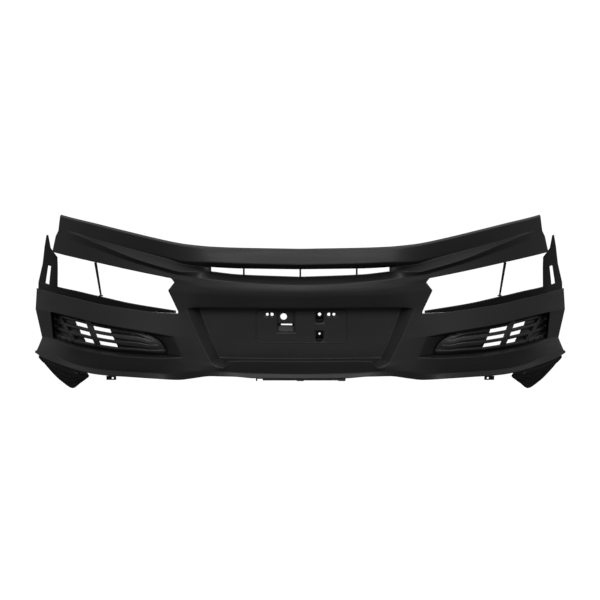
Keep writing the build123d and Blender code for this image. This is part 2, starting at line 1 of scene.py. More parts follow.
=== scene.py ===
import json
import math
import bmesh
import bpy
import numpy as np
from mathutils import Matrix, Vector


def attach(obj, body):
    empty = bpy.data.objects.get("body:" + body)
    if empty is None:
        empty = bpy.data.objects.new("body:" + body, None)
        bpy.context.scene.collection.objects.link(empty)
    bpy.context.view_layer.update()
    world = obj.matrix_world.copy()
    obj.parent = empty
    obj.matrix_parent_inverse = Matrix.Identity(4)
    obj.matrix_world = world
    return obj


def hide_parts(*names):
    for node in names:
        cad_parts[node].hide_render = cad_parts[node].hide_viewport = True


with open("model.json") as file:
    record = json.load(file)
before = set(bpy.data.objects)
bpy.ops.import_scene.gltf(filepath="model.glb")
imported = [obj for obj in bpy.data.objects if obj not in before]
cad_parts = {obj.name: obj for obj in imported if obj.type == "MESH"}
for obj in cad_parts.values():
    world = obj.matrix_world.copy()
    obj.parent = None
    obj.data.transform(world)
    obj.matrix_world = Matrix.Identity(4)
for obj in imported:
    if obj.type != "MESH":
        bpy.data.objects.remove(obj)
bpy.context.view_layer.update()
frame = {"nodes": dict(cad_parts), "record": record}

mm = 0.001

# body of the car that the cover follows
body = {
    "halfWidth": 950.0,  # where the flank turns into the wheel arch
    "planSlope": 0.06,  # forward sweep near the middle
    "planWrap": 390.0,  # extra sweep at the wheel arch
    "planPower": 5,
    "depthCentre": 243.0,  # depth that lies at y = 0
    "peakSoftness": 9.0,  # how soft the middle peak is
}


def planDepth(x):
    # straight sweep softened at the middle, plus a fifth power that turns the corner late
    ax = np.abs(x)
    straight = np.sqrt(ax ** 2 + body["peakSoftness"] ** 2) - body["peakSoftness"] * 0.5
    return body["planSlope"] * straight + body["planWrap"] * (ax / body["halfWidth"]) ** body["planPower"]


def smoothLine(knotX, knotY, x):
    # cubic through the knots, slopes are harmonic means so that it never overshoots
    kx, ky = np.asarray(knotX, float), np.asarray(knotY, float)
    secant = np.diff(ky) / np.diff(kx)
    slope = np.zeros(len(kx))
    slope[0], slope[-1] = secant[0], secant[-1]
    same = secant[:-1] * secant[1:] > 0
    total = np.where(same, secant[:-1] + secant[1:], 1.0)
    slope[1:-1] = np.where(same, 2 * secant[:-1] * secant[1:] / total, 0.0)
    x = np.clip(x, kx[0], kx[-1])
    i = np.clip(np.searchsorted(kx, x, side="right") - 1, 0, len(kx) - 2)
    h = kx[i + 1] - kx[i]
    t = (x - kx[i]) / h
    return (ky[i] * (1 + 2 * t) * (1 - t) ** 2 + slope[i] * h * t * (1 - t) ** 2
            + ky[i + 1] * t * t * (3 - 2 * t) - slope[i + 1] * h * t * t * (1 - t))


def onPlan(x, offset, height):
    # a point of the body: distance from the middle, depth offset, height
    return np.stack([x, planDepth(x) + offset - body["depthCentre"], height], axis=-1)


# skin
# each feature line: (distance from the middle, height, depth offset), in millimetres
skinLines = {
    "top": [(0, 549, 8), (205, 551, 8), (304, 554, 8), (352, 558, 6), (402, 564, 2), (511, 585, -2),
            (616, 606, -2), (725, 624, 0), (842, 636, 4)],
    "lip": [(0, 502, -6), (205, 505, -6), (304, 508, -4), (352, 508, 2), (402, 510, 8), (442, 520, 10),
            (580, 550, 9), (700, 571, 4), (800, 590, 1.5), (850, 592, 2.7)],
    "groove": [(0, 482, 26), (205, 483, 26), (304, 487, 26), (352, 491, 22), (402, 498, 18), (442, 511, 14),
               (580, 545, 10), (700, 568, 3), (800, 588, 1.2), (851, 588, 2.7)],
    "ridge": [(0, 455, 28), (205, 461, 28), (304, 471, 27), (330, 474, 10), (352, 475, -4), (402, 475, -14),
              (442, 484, -16), (557, 514, -15), (615, 533, -13), (700, 561, -9), (800, 585, -2), (815, 586, 2),
              (851, 584, 2.6)],
    "valley": [(0, 433, -6), (114, 435, -6), (205, 441, -5), (304, 450, -5), (352, 456, -3), (415, 463, 1),
               (502, 484, 4), (582, 504, 4), (700, 538, 2), (800, 558, 1), (862, 562, 2)],
    "lampTop": [(0, 418, -10), (205, 422, -9), (312, 432, -7), (368, 440, -4), (440, 450, 0), (500, 460, 1),
                (610, 478, 1), (702, 491, 1), (803, 500, 1), (878, 503, 2)],
    "notchTop": [(0, 408, -11), (205, 410, -10), (318, 420, -8), (374, 428, -4), (429, 436, 1)],
    "notchTip": [(0, 392, -8), (205, 394, -8), (330, 400, -6), (384, 404, -3), (451, 408, 2)],
    "overhang": [(0, 351, 8), (205, 351, 8), (349, 350, 8), (390, 346, 2), (417, 336, 3)],
    "flankTop": [(0, 346, 48), (205, 346, 48), (347, 344, 46), (386, 338, 2), (417, 329, 3), (480, 330, 4),
                 (584, 338, 5), (696, 347, 6), (787, 355, 6), (870, 357, 6), (955, 351, 4)],
    "ventTop": [(0, 250, 46), (205, 250, 46), (311, 250, 42), (348, 249, 1), (433, 250, -6), (500, 260, -8),
                (612, 273, -9), (705, 281, -9), (803, 290, -8), (888, 287, -6), (928, 281, -6), (961, 275, -8)],
    "ventBottom": [(0, 169, 42), (205, 169, 42), (241, 169, 42), (278, 171, 40), (305, 163, 0), (405,
                   179, -4), (455, 175, -8),
                   (515, 174, -9), (593, 174, -10), (707, 178, -9), (800, 181, -4), (885, 184, 26),
                   (915, 179, 34), (940, 169, 42)],
    "sillTop": [(0, 171, -8), (205, 170, -8), (241, 168, -7), (265, 143, -5), (289, 147, -1), (400,
                154, -4), (500, 146, -1),
                (593, 145, 0), (707, 146, 2), (800, 153, 6), (882, 162, 12), (922, 155, 16), (950, 145, 20)],
    "lipCrease": [(0, 124, 6), (205, 126, 6), (272, 131, 4), (300, 132, 1), (373, 130, -4), (443, 118, 2),
                  (500, 117, 10), (593, 116, 12), (707, 114, 13), (800, 118, 12), (880, 132, 0), (925, 130, -2),
                  (958, 127, -1)],
    "bottom": [(0, 109, 0), (155, 108, 0), (230, 113, 0), (306, 113, 2), (373, 103, 5), (421, 97, 4),
               (500, 100, -3), (593, 102, -5), (707, 99, -6), (787, 102, -8), (852, 107, -10), (925, 108, -12),
               (967, 113, -13)],
}
# where the columns cross each line, from the middle to the wheel arch
straightColumns = [0, 100, 205, 304, 352, 402, 500, 590, 700, 800, 850]
skinColumns = {
    "top": [0, 100, 205, 304, 352, 402, 500, 590, 700, 800, 842],
    "lip": [0, 100, 205, 304, 352, 402, 500, 590, 700, 800, 849],
    "groove": straightColumns,
    "ridge": straightColumns,
    "valley": [0, 100, 205, 304, 358, 415, 500, 590, 700, 800, 862],
    "lampTop": [0, 100, 205, 312, 368, 440, 500, 590, 700, 800, 878],
    "notchTop": [0, 100, 205, 318, 374, 429],
    "notchTip": [0, 100, 205, 330, 384, 451],
    "overhang": [0, 100, 205, 349, 390, 417],
    "flankTop": [0, 100, 205, 347, 386, 417, 500, 590, 700, 800, 875, 917, 955],
    "ventTop": [0, 100, 205, 311, 348, 433, 500, 590, 700, 800, 888, 928, 961],
    "ventBottom": [0, 100, 236, 278, 305, 405, 500, 590, 700, 800, 885, 915, 940],
    "sillTop": [0, 100, 238, 265, 289, 400, 500, 590, 700, 800, 882, 922, 950],
    "lipCrease": [0, 100, 225, 268, 300, 400, 500, 590, 700, 800, 880, 925, 958],
    "bottom": [0, 100, 195, 280, 306, 400, 500, 590, 700, 800, 880, 925, 967],
}
skin = {
    "thickness": 3.0,
    "edgeRadius": 2.6,  # distance of the loops that hold each crease
    "columnRadius": 4.0,
    "step": 24.0,  # longest spacing of loops
    "flange": 22.0,
    "topFlange": 34.0,
    "archFlange": 20.0,
    "bottomFlange": 26.0,
    "kinked": ("flankTop", "ventTop", "ventBottom", "sillTop", "overhang"),
    "softRows": ("lampTop", "notchTop", "notchTip"),
    "heldColumns": (3, 4, 5, 10, 12),
}
rowNames = list(skinLines)


def linePoint(name, x):
    # point of a feature line at signed distance x from the middle
    knots = np.array(skinLines[name], float)
    ax = np.abs(x)
    height = smoothLine(knots[:, 0], knots[:, 1], ax)
    if name in skin["kinked"]:
        offset = np.interp(ax, knots[:, 0], knots[:, 2])
    else:
        offset = smoothLine(knots[:, 0], knots[:, 2], ax)
    return onPlan(x, offset, height)


def crossing(name, u):
    # point of a feature line at column number u, negative on the left
    row = skinColumns[name]
    return linePoint(name, np.sign(u) * np.interp(np.abs(u), range(len(row)), row))


# openings of the flat plate recess and bolt holes: (lowest x, highest x, lowest z, highest z) in millimetres
plateOpenings = [(-118.5, -107.5, 317.5, 328.5), (-101.5, -90.5, 317.5, 328.5), (91.5, 102.5, 317.5, 328.5),
                 (109.5, 120.5, 317.5, 328.5), (-78.0, -22.0, 258.0, 334.0), (53.0, 79.0, 295.0, 330.0),
                 (53.0, 79.0, 228.0, 264.0)]
plateHeights = [258.0, 264.0, 295.0, 317.5, 328.5, 330.0, 334.0]
topBolts = {"places": (140.0, 290.0), "radius": 3.5, "fromRear": 27.0}


def openingColumns(side):
    # column numbers of the openings' upright edges on one side of the middle
    edges = [side * x for box in plateOpenings for x in box[:2] if side * x > 0]
    edges += [x + d * topBolts["radius"] for x in topBolts["places"] for d in (-1, 1)]
    row = skinColumns["flankTop"]
    bolt = skinColumns["top"]
    plate = [x for x in edges if x < 130]
    other = [x for x in edges if x >= 130]
    return list(np.interp(plate, row, range(len(row)))) + list(np.interp(other, bolt, range(len(bolt))))


def columnStations(first, last, side=1):
    # column numbers of the loops from one main column to another, with two holding loops at hard columns
    found = []
    extra = openingColumns(side)
    for k in range(first, last):
        widest = max(skinColumns[n][k + 1] - skinColumns[n][k] for n in rowNames if len(skinColumns[n]) > k + 1)
        count = max(1, int(math.ceil(widest / skin["step"])))
        inner = list(np.linspace(k, k + 1, count + 1)[:-1])
        hold = skin["columnRadius"] / widest
        if k in skin["heldColumns"] and k > 0:
            inner.insert(1, k + hold)
        if k + 1 in skin["heldColumns"]:
            inner.append(k + 1 - hold)
        wanted = [u for u in extra if k < u < k + 1]
        inner = [u for u in inner if u == k or all(abs(u - w) > 0.06 for w in wanted)]
        found += sorted(inner + wanted)
    return np.array(found + [float(last)])


def segmentGrid(upper, lower, u, count):
    # rows of points between two feature lines: straight, or eased where a line is soft near the middle
    a, b = crossing(upper, u), crossing(lower, u)
    length = np.maximum(np.linalg.norm(b - a, axis=1), 0.5)
    hold = np.minimum(skin["edgeRadius"] / length, 0.28)
    shares = [np.zeros(len(u)), hold]
    for t in rowShares(upper, count):
        shares.append(np.full(len(u), t))
    shares.append(1 - hold)
    shares.append(np.ones(len(u)))
    t = np.sort(np.array(shares), axis=0)[:, :, None]
    i, j = rowNames.index(upper), rowNames.index(lower)
    softA = softness(upper, u)[:, None]
    softB = softness(lower, u)[:, None]
    tangentA = (b - a) * (1 - softA) + softA * 0.5 * (b - crossing(rowNames[i - 1], u))
    beyond = crossing(rowNames[min(j + 1, len(rowNames) - 1)], u)
    tangentB = (b - a) * (1 - softB) + softB * 0.5 * (beyond - a)
    return ((1 + 2 * t) * (1 - t) ** 2 * a + t * (1 - t) ** 2 * tangentA
            + t * t * (3 - 2 * t) * b - t * t * (1 - t) * tangentB)


def rowShares(upper, count):
    # shares of the way down, placed on the edges of the plate openings where the segment has them
    if upper == "flankTop":
        return [(346.0 - z) / 96.0 for z in sorted(plateHeights, reverse=True)] + [0.45, 0.7]
    return list(np.linspace(0, 1, count + 1)[1:-1]) + ([(250.0 - 228.0) / 81.0] if upper == "ventTop" else [])


def softness(name, u):
    # 1 where the outer face runs smoothly through a line, 0 where the line is a crease
    if name not in skin["softRows"]:
        return np.zeros(len(u))
    return np.clip((4.6 - np.abs(u)) / 0.6, 0, 1)


class Sheet:
    # Collects grids of points and welds them into one surface.

    def __init__(self):
        self.points, self.faces, self.total = [], [], 0

    def add(self, grid, keep=None):
        # keep says for every cell of the grid whether it is a face or an opening
        rows, cols = grid.shape[:2]
        index = np.arange(rows * cols).reshape(rows, cols) + self.total
        quads = np.stack([index[:-1, :-1], index[1:, :-1], index[1:, 1:], index[:-1, 1:]], axis=-1)
        if keep is not None:
            quads = quads[keep]
        self.points.append(grid.reshape(-1, 3))
        self.faces.append(quads.reshape(-1, 4))
        self.total += rows * cols

    def mesh(self, name, outward=(0, -1, 0)):
        points = np.concatenate(self.points)
        faces = np.concatenate(self.faces)
        _, first, back = np.unique(np.round(points, 2), axis=0, return_index=True, return_inverse=True)
        faces = back.reshape(-1)[faces]
        same = np.array([len(set(f)) for f in faces])
        made = bpy.data.meshes.new(name)
        made.from_pydata((points[first] * mm).tolist(), [], faces[same == 4].tolist())
        work = bmesh.new()
        work.from_mesh(made)
        for f in faces[same == 3]:
            corners = list(dict.fromkeys(int(v) for v in f))
            work.verts.ensure_lookup_table()
            work.faces.new([work.verts[v] for v in corners])
        bmesh.ops.recalc_face_normals(work, faces=work.faces)
        facing = sum(f.normal.dot(outward) * f.calc_area() for f in work.faces)
        if facing < 0:
            bmesh.ops.reverse_faces(work, faces=work.faces)
        for f in work.faces:
            f.smooth = True
        work.to_mesh(made)
        work.free()
        return made


def flange(edge, shift, count=1):
    # an edge carried along a straight shift, with one holding loop next to the edge
    length = np.linalg.norm(shift)
    shares = [0.0, min(0.3, skin["edgeRadius"] / length), 1.0]
    t = np.array(shares)[:, None, None]
    return edge[None] + np.asarray(shift, float) * t


segmentCounts = {"top": 2, "lip": 1, "groove": 2, "ridge": 1, "valley": 2, "lampTop": 1, "notchTop": 1,
                 "notchTip": 2, "overhang": 2, "flankTop": 3, "ventTop": 3, "ventBottom": 1, "sillTop": 1,
                 "lipCrease": 1}


def isOpen(upper, column):
    slot = upper == "groove" and column < 3
    lamp = upper in ("lampTop", "notchTop", "notchTip", "overhang") and column >= 5
    vent = upper == "ventTop" and 5 <= column < 10
    return slot or lamp or vent


def sideGrid(upper, lower, column, side):
    # the column line between two feature lines, as a one-row grid
    u = np.array([side * float(column)])
    return segmentGrid(upper, lower, u, segmentCounts[upper])[:, 0]


def pocketOffset(x):
    return 28.0 + 16.0 * np.clip((np.abs(x) - 800.0) / 85.0, 0, 1)


def pocketFloor(points, innerX, runOut, inward):
    # where the vent opening's edge lands on the pocket's floor, more inward at the rounded inner end
    x, height = points[:, 0], points[:, 2]
    ax = np.abs(x)
    share = np.clip((runOut - ax) / (runOut - innerX), 0, 1)
    newX = np.sign(x) * (ax + inward * share - np.where(ax > 870, 6.0, 0.0))
    return onPlan(newX, pocketOffset(newX), height + 0.12 * (225.0 - height))


def cellCentres(grid):
    return (grid[:-1, :-1] + grid[1:, :-1] + grid[1:, 1:] + grid[:-1, 1:]) / 4


def plateMask(grid):
    # cells of the recess that are not inside one of its openings
    middle = cellCentres(grid)
    keep = np.ones(middle.shape[:2], bool)
    for x0, x1, z0, z1 in plateOpenings:
        inside = (middle[..., 0] > x0) & (middle[..., 0] < x1) & (middle[..., 2] > z0) & (middle[..., 2] < z1)
        keep &= ~inside
    return keep


def topFlange(edge):
    # the upper return flange with its bolt holes
    depth, back, radius = skin["topFlange"], topBolts["fromRear"], topBolts["radius"]
    shares = np.array([0.0, skin["edgeRadius"], 13.0, back - radius, back + radius, depth]) / depth
    grid = edge[None] + np.array([0, depth, 2.0]) * shares[:, None, None]
    middle = cellCentres(grid)
    along = np.min([np.abs(np.abs(middle[..., 0]) - x) for x in topBolts["places"]], axis=0)
    row = np.arange(len(shares) - 1)[:, None] == 3
    return grid, ~((along < radius) & row)


def skinSheet():
    sheet = Sheet()
    for side in (-1, 1):
        for upper, lower in zip(rowNames[:-1], rowNames[1:]):
            last = min(len(skinColumns[upper]), len(skinColumns[lower])) - 1
            k = 0
            while k < last:  # runs of neighbouring closed columns become one grid
                if isOpen(upper, k):
                    k += 1
                    continue
                first = k
                while k < last and not isOpen(upper, k):
                    k += 1
                grid = segmentGrid(upper, lower, side * columnStations(first, k, side), segmentCounts[upper])
                sheet.add(grid, plateMask(grid) if upper in ("flankTop", "ventTop") else None)
        edge = lambda name, first, last: crossing(name, side * columnStations(first, last, side))
        sheet.add(*topFlange(edge("top", 0, 10)))
        for upper, lower in zip(rowNames[:5], rowNames[1:6]):
            sheet.add(flange(sideGrid(upper, lower, 10, side), (-side * 2, skin["flange"], 0)))
        sheet.add(flange(edge("lampTop", 5, 10), (0, skin["flange"], 2)))
        for upper, lower in zip(rowNames[5:9], rowNames[6:10]):
            sheet.add(flange(sideGrid(upper, lower, 5, side), (-side * 1, skin["flange"], 0)))
        sheet.add(flange(edge("flankTop", 5, 12), (0, skin["flange"], -3)))
        sheet.add(flange(edge("groove", 0, 3), (0, skin["flange"], 1)))
        sheet.add(flange(edge("ridge", 0, 3), (0, skin["flange"], -1)))
        sheet.add(flange(sideGrid("groove", "ridge", 3, side), (0, skin["flange"], 0)))
        for upper, lower in zip(rowNames[9:-1], rowNames[10:]):
            sheet.add(flange(sideGrid(upper, lower, 12, side), (-side * skin["archFlange"], 0, 0)))
        sheet.add(flange(edge("bottom", 0, 12), (0, skin["bottomFlange"], 1)))
        addPocket(sheet, side)
    return sheet


def pocketEnd(share):
    # how far the blunt inner end of the pocket stands out from the straight line between its corners
    return 13.7 * share ** 5 - 18.0 * np.sin(np.pi * share) * (1 - 0.35 * share)


def addPocket(sheet, side):
    # walls of the side vent pocket, from the opening's edge to the floor
    u = side * columnStations(5, 10, side)
    top, low = crossing("ventTop", u), crossing("ventBottom", u)
    topIn = pocketFloor(top, 433.0, 560.0, 86.0)
    lowIn = pocketFloor(low, 405.0, 520.0, 46.0)
    t = np.array([0.0, 0.09, 0.5, 1.0])[:, None, None]
    sheet.add(top * (1 - t) + topIn * t)
    sheet.add(low * (1 - t) + lowIn * t)
    for end, column in ((0, 5), (-1, 10)):
        line = sideGrid("ventTop", "ventBottom", column, side)
        share = ((line[:, 2] - line[0, 2]) / (line[-1, 2] - line[0, 2]))[:, None]
        inner = topIn[end] * (1 - share) + lowIn[end] * share
        if column == 5:  # the pocket ends in a blunt curve
            inner[:, 0] += side * pocketEnd(share[:, 0])
            inner = onPlan(inner[:, 0], pocketOffset(inner[:, 0]), inner[:, 2])
        sheet.add(line * (1 - t) + inner * t)


def addModifiers(piece, levels=0, thickness=0.0):
    if levels:
        smooth = piece.modifiers.new("smooth", "SUBSURF")
        smooth.levels = smooth.render_levels = levels
        smooth.boundary_smooth = "PRESERVE_CORNERS"
    if thickness:
        wall = piece.modifiers.new("wall", "SOLIDIFY")
        wall.thickness = thickness * mm
        wall.offset = -1.0
        wall.use_even_offset = True


def place(piece, bodyName, slotName, *nodes):
    # links a finished piece, rides it on its body and hides the carried-over parts it stands for
    bpy.context.scene.collection.objects.link(piece)
    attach(piece, bodyName)
    if nodes:
        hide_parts(*nodes)
    return piece


# finishes
def newMaterial(name):
    made = bpy.data.materials.new(name)
    made.use_nodes = True
    nodes, links = made.node_tree.nodes, made.node_tree.links
    return made, nodes, links, nodes["Principled BSDF"]


def noiseNode(nodes, links, coordinates, scale, detail, stretch=(1, 1, 1)):
    # noise in object coordinates, stretched along the axes
    mapping = nodes.new("ShaderNodeMapping")
    mapping.inputs["Scale"].default_value = stretch
    links.new(coordinates, mapping.inputs["Vector"])
    noise = nodes.new("ShaderNodeTexNoise")
    noise.inputs["Scale"].default_value = scale
    noise.inputs["Detail"].default_value = detail
    links.new(mapping.outputs["Vector"], noise.inputs["Vector"])
    return noise.outputs["Fac"]


def remap(nodes, links, value, low, high, newLow, newHigh):
    node = nodes.new("ShaderNodeMapRange")
    for name, number in (("From Min", low), ("From Max", high), ("To Min", newLow), ("To Max", newHigh)):
        node.inputs[name].default_value = number
    links.new(value, node.inputs["Value"])
    return node.outputs["Result"]


def mouldedPlastic(name, look):
    # Moulded plastic: fine grain, cloudy gloss, flow streaks, dust that lies on the faces that look up, and painted
    # shade that darkens hollows by ambient occlusion.
    made, nodes, links, shader = newMaterial(name)
    place = nodes.new("ShaderNodeTexCoord").outputs["Object"]
    cloud = noiseNode(nodes, links, place, look["cloudScale"], 4.0)
    streak = noiseNode(nodes, links, place, look["cloudScale"] * 2.0, 3.0, (0.5, 1.0, 7.0))
    grain = noiseNode(nodes, links, place, look["grainScale"], 3.0)
    colour = nodes.new("ShaderNodeMix")
    colour.data_type = "RGBA"
    colour.inputs["A"].default_value = (*[c * (1 - look["cloudTint"]) for c in look["colour"]], 1)
    colour.inputs["B"].default_value = (*[c * (1 + look["cloudTint"]) for c in look["colour"]], 1)
    links.new(remap(nodes, links, cloud, 0.3, 0.7, 0, 1), colour.inputs["Factor"])
    upward = nodes.new("ShaderNodeSeparateXYZ")
    links.new(nodes.new("ShaderNodeNewGeometry").outputs["Normal"], upward.inputs["Vector"])
    lying = remap(nodes, links, upward.outputs["Z"], 0.25, 1.0, 0, 1)
    patchy = nodes.new("ShaderNodeMath")
    patchy.operation = "MULTIPLY"
    links.new(lying, patchy.inputs[0])
    links.new(remap(nodes, links, streak, 0.42, 0.68, 0, look["dust"]), patchy.inputs[1])
    dusty = nodes.new("ShaderNodeMix")
    dusty.data_type = "RGBA"
    dusty.inputs["B"].default_value = (0.12, 0.118, 0.112, 1)
    links.new(colour.outputs["Result"], dusty.inputs["A"])
    links.new(patchy.outputs["Value"], dusty.inputs["Factor"])
    # painted shade: ambient occlusion mixes the base colour towards near-black in hollows and corners
    shaded = nodes.new("ShaderNodeMix")
    shaded.data_type = "RGBA"
    shaded.inputs["A"].default_value = (0.0015, 0.0015, 0.0015, 1)
    hollow = nodes.new("ShaderNodeAmbientOcclusion")
    hollow.inputs["Distance"].default_value = look.get("hollow", 0.02)
    links.new(remap(nodes, links, hollow.outputs["AO"], look.get("hollowFrom", 0.1), 0.85, 0, 1),
                                                 shaded.inputs["Factor"])
    links.new(dusty.outputs["Result"], shaded.inputs["B"])
    links.new(shaded.outputs["Result"], shader.inputs["Base Color"])
    low, high = look["roughness"]
    links.new(remap(nodes, links, streak, 0.3, 0.7, low, high), shader.inputs["Roughness"])
    bump = nodes.new("ShaderNodeBump")
    bump.inputs["Strength"].default_value = look["grainStrength"]
    bump.inputs["Distance"].default_value = 0.0004
    links.new(grain, bump.inputs["Height"])
    links.new(bump.outputs["Normal"], shader.inputs["Normal"])
    shader.inputs["Specular IOR Level"].default_value = look["specular"]
    return made


# the last two entries of skin and grille set the painted shade: ambient occlusion reach in metres and the occlusion
# level where darkening starts
looks = {
    "skin": {"colour": (0.0215, 0.0215, 0.0222), "cloudScale": 5.0, "cloudTint": 0.10, "grainScale": 900.0,
             "grainStrength": 0.22, "roughness": (0.40, 0.50), "specular": 0.34, "dust": 0.03,
             "hollow": 0.09, "hollowFrom": 0.30},
    "black": {"colour": (0.006, 0.006, 0.0063), "cloudScale": 9.0, "cloudTint": 0.14, "grainScale": 1400.0,
              "grainStrength": 0.35, "roughness": (0.38, 0.55), "specular": 0.16, "dust": 0.04},
    "grille": {"colour": (0.019, 0.019, 0.0194), "cloudScale": 12.0, "cloudTint": 0.12, "grainScale": 1600.0,
               "grainStrength": 0.30, "roughness": (0.30, 0.44), "specular": 0.55, "dust": 0.08,
               "hollow": 0.03, "hollowFrom": 0.45},
    "retainer": {"colour": (0.055, 0.055, 0.056), "cloudScale": 60.0, "cloudTint": 0.10, "grainScale": 2600.0,
                 "grainStrength": 0.20, "roughness": (0.30, 0.44), "specular": 0.5, "dust": 0.10},
    "strip": {"colour": (0.15, 0.15, 0.15), "cloudScale": 16.0, "cloudTint": 0.16, "grainScale": 1500.0,
              "grainStrength": 0.35, "roughness": (0.45, 0.62), "specular": 0.4, "dust": 0.15},
}


def springSteel():
    # Phosphated steel: metallic, cloudy, with short rolled streaks.
    made, nodes, links, shader = newMaterial("springSteel")
    place = nodes.new("ShaderNodeTexCoord").outputs["Object"]
    streak = noiseNode(nodes, links, place, 320.0, 3.0, (1.0, 1.0, 9.0))
    ramp = nodes.new("ShaderNodeMix")
    ramp.data_type = "RGBA"
    ramp.inputs["A"].default_value = (0.07, 0.07, 0.074, 1)
    ramp.inputs["B"].default_value = (0.17, 0.168, 0.162, 1)
    links.new(streak, ramp.inputs["Factor"])
    links.new(ramp.outputs["Result"], shader.inputs["Base Color"])
    links.new(remap(nodes, links, streak, 0.3, 0.7, 0.3, 0.5), shader.inputs["Roughness"])
    bump = nodes.new("ShaderNodeBump")
    bump.inputs["Strength"].default_value = 0.25
    bump.inputs["Distance"].default_value = 0.0002
    links.new(streak, bump.inputs["Height"])
    links.new(bump.outputs["Normal"], shader.inputs["Normal"])
    shader.inputs["Metallic"].default_value = 0.85
    return made


finishes = {name: mouldedPlastic(name + "Plastic", look) for name, look in looks.items()}
finishes["steel"] = springSteel()

skinPiece = bpy.data.objects.new("skin", skinSheet().mesh("skin"))
skinPiece.data.materials.append(finishes["skin"])
addModifiers(skinPiece, 1, skin["thickness"])
place(skinPiece, "cover", "skin_plastic", "bumper_skin")
print("skin faces", len(skinPiece.data.polygons))

# plate recess: raised outline, sensor tray and latch trays
recess = {
    "depth": 47.0,  # of the flat behind the outer face
    "outline": (-151.6, 159.8, 225.4, 336.6),
    "corner": 16.0,
    "beadWidth": 4.0,
    "beadHeight": 1.6,
    "tray": (-78.0, -22.0, 258.0, 334.0),
    "hole": (-57.0, 315.0, 12.5),
    "slot": (-66.0, -28.0, 283.0, 288.0),
}


def recessOffset(x, height):
    # depth offset of the flat, from its upper edge at 346 down through 250 to 169
    return np.interp(height, [169.0, 250.0, 346.0], [42.0, 46.0, 48.0])


def recessPoint(x, height, proud):
    p = onPlan(x, recessOffset(x, height), height)
    p[..., 1] -= proud
    return p


def roundedRectangle(box, corner, count):
    # closed outline: straight sides joined by quarter circles, as angles a and sides in order
    x0, x1, z0, z1 = box
    a = np.linspace(0, np.pi / 2, count)
    parts = []
    for k, (cx, cz) in enumerate([(x1 - corner, z1 - corner), (x0 + corner, z1 - corner),
                                  (x0 + corner, z0 + corner), (x1 - corner, z0 + corner)]):
        parts.append(np.stack([cx + corner * np.cos(a + k * np.pi / 2), cz + corner * np.sin(a + k * np.pi / 2)], 1))
    return np.concatenate(parts + [parts[0][:1]])


def makeOutline():
    # half-round bead carried round the plate pad: width w = b cos(v), height h = c sin(v)
    path = roundedRectangle(recess["outline"], recess["corner"], 7)
    finer = [path[0]]
    for a, b in zip(path[:-1], path[1:]):
        n = max(1, int(np.linalg.norm(b - a) / 12.0))
        finer += [a + (b - a) * k / n for k in range(1, n + 1)]
    path = np.array(finer)
    ahead = np.roll(path[:-1], -1, axis=0) - np.roll(path[:-1], 1, axis=0)
    ahead = np.vstack([ahead, ahead[:1]])
    side = np.stack([ahead[:, 1], -ahead[:, 0]], 1) / np.linalg.norm(ahead, axis=1)[:, None]
    v = np.linspace(0, np.pi, 7)
    flat = path[None] + side[None] * (recess["beadWidth"] / 2 * np.cos(v))[:, None, None]
    proud = recess["beadHeight"] * np.sin(v) - 0.4
    grid = recessPoint(flat[..., 0], flat[..., 1], proud[:, None])
    sheet = Sheet()
    sheet.add(grid)
    piece = bpy.data.objects.new("plateOutline", sheet.mesh("plateOutline"))
    piece.data.materials.append(finishes["skin"])
    place(piece, "cover", "skin_plastic")


def trayBack(height):
    # how deep the sensor tray is at a height: shallow top, deep slot band, slope forward, lit sill
    return np.interp(height, [258, 259.2, 261.5, 263, 281, 282, 291, 292, 333, 334],
                     [0, 1.0, 2.2, 9.0, 17, 19, 19, 4.0, 3.0, 0])


def makeSensorTray():
    # the tray's face is a grid in x and height; around the hole the grid is pulled onto a circle
    x0, x1, z0, z1 = recess["tray"]
    sx0, sx1, sz0, sz1 = recess["slot"]
    cx, cz, radius = recess["hole"]
    xs = np.unique(np.concatenate([np.linspace(x0, x1, 25), [sx0, sx1, x0 + 0.6, x1 - 0.6]]))
    zs = np.unique(np.concatenate([np.linspace(z0, z1, 29), [258, 259.2, 261.5, 263, 281, 282, 283, 288, 291, 292]]))
    gridX, gridZ = np.meshgrid(xs, zs, indexing="ij")
    wall = (gridX <= x0 + 0.01) | (gridX >= x1 - 0.01)
    back = np.where(wall, 0.0, trayBack(gridZ))
    grid = recessPoint(gridX, gridZ, -back - 0.0)
    middle = cellCentres(np.stack([gridX, gridZ, gridZ], -1))
    slot = (middle[..., 0] > sx0) & (middle[..., 0] < sx1) & (middle[..., 1] > sz0) & (middle[..., 1] < sz1)
    reach = radius * 1.2
    lowX, highX = xs[xs <= cx - reach].max(), xs[xs >= cx + reach].min()
    lowZ, highZ = zs[zs <= cz - reach].max(), zs[zs >= cz + reach].min()
    square = (middle[..., 0] > lowX) & (middle[..., 0] < highX) & (middle[..., 1] > lowZ) & (middle[..., 1] < highZ)
    sheet = Sheet()
    sheet.add(grid, ~(slot | square))
    xsIn, zsIn = xs[(xs >= lowX) & (xs <= highX)], zs[(zs >= lowZ) & (zs <= highZ)]
    sheet.add(ringAround(xsIn, zsIn, cx, cz, radius))
    lip = np.linspace(0, 2 * np.pi, 49)
    rim = recessPoint(cx + radius * np.cos(lip), cz + radius * np.sin(lip), -trayBack(cz + radius * np.sin(lip)))
    sheet.add(np.stack([rim, rim + np.array([0, 5.0, 0])]))
    piece = bpy.data.objects.new("sensorTray", sheet.mesh("sensorTray"))
    piece.data.materials.append(finishes["skin"])
    addModifiers(piece, 0, 1.2)
    place(piece, "cover", "skin_plastic")


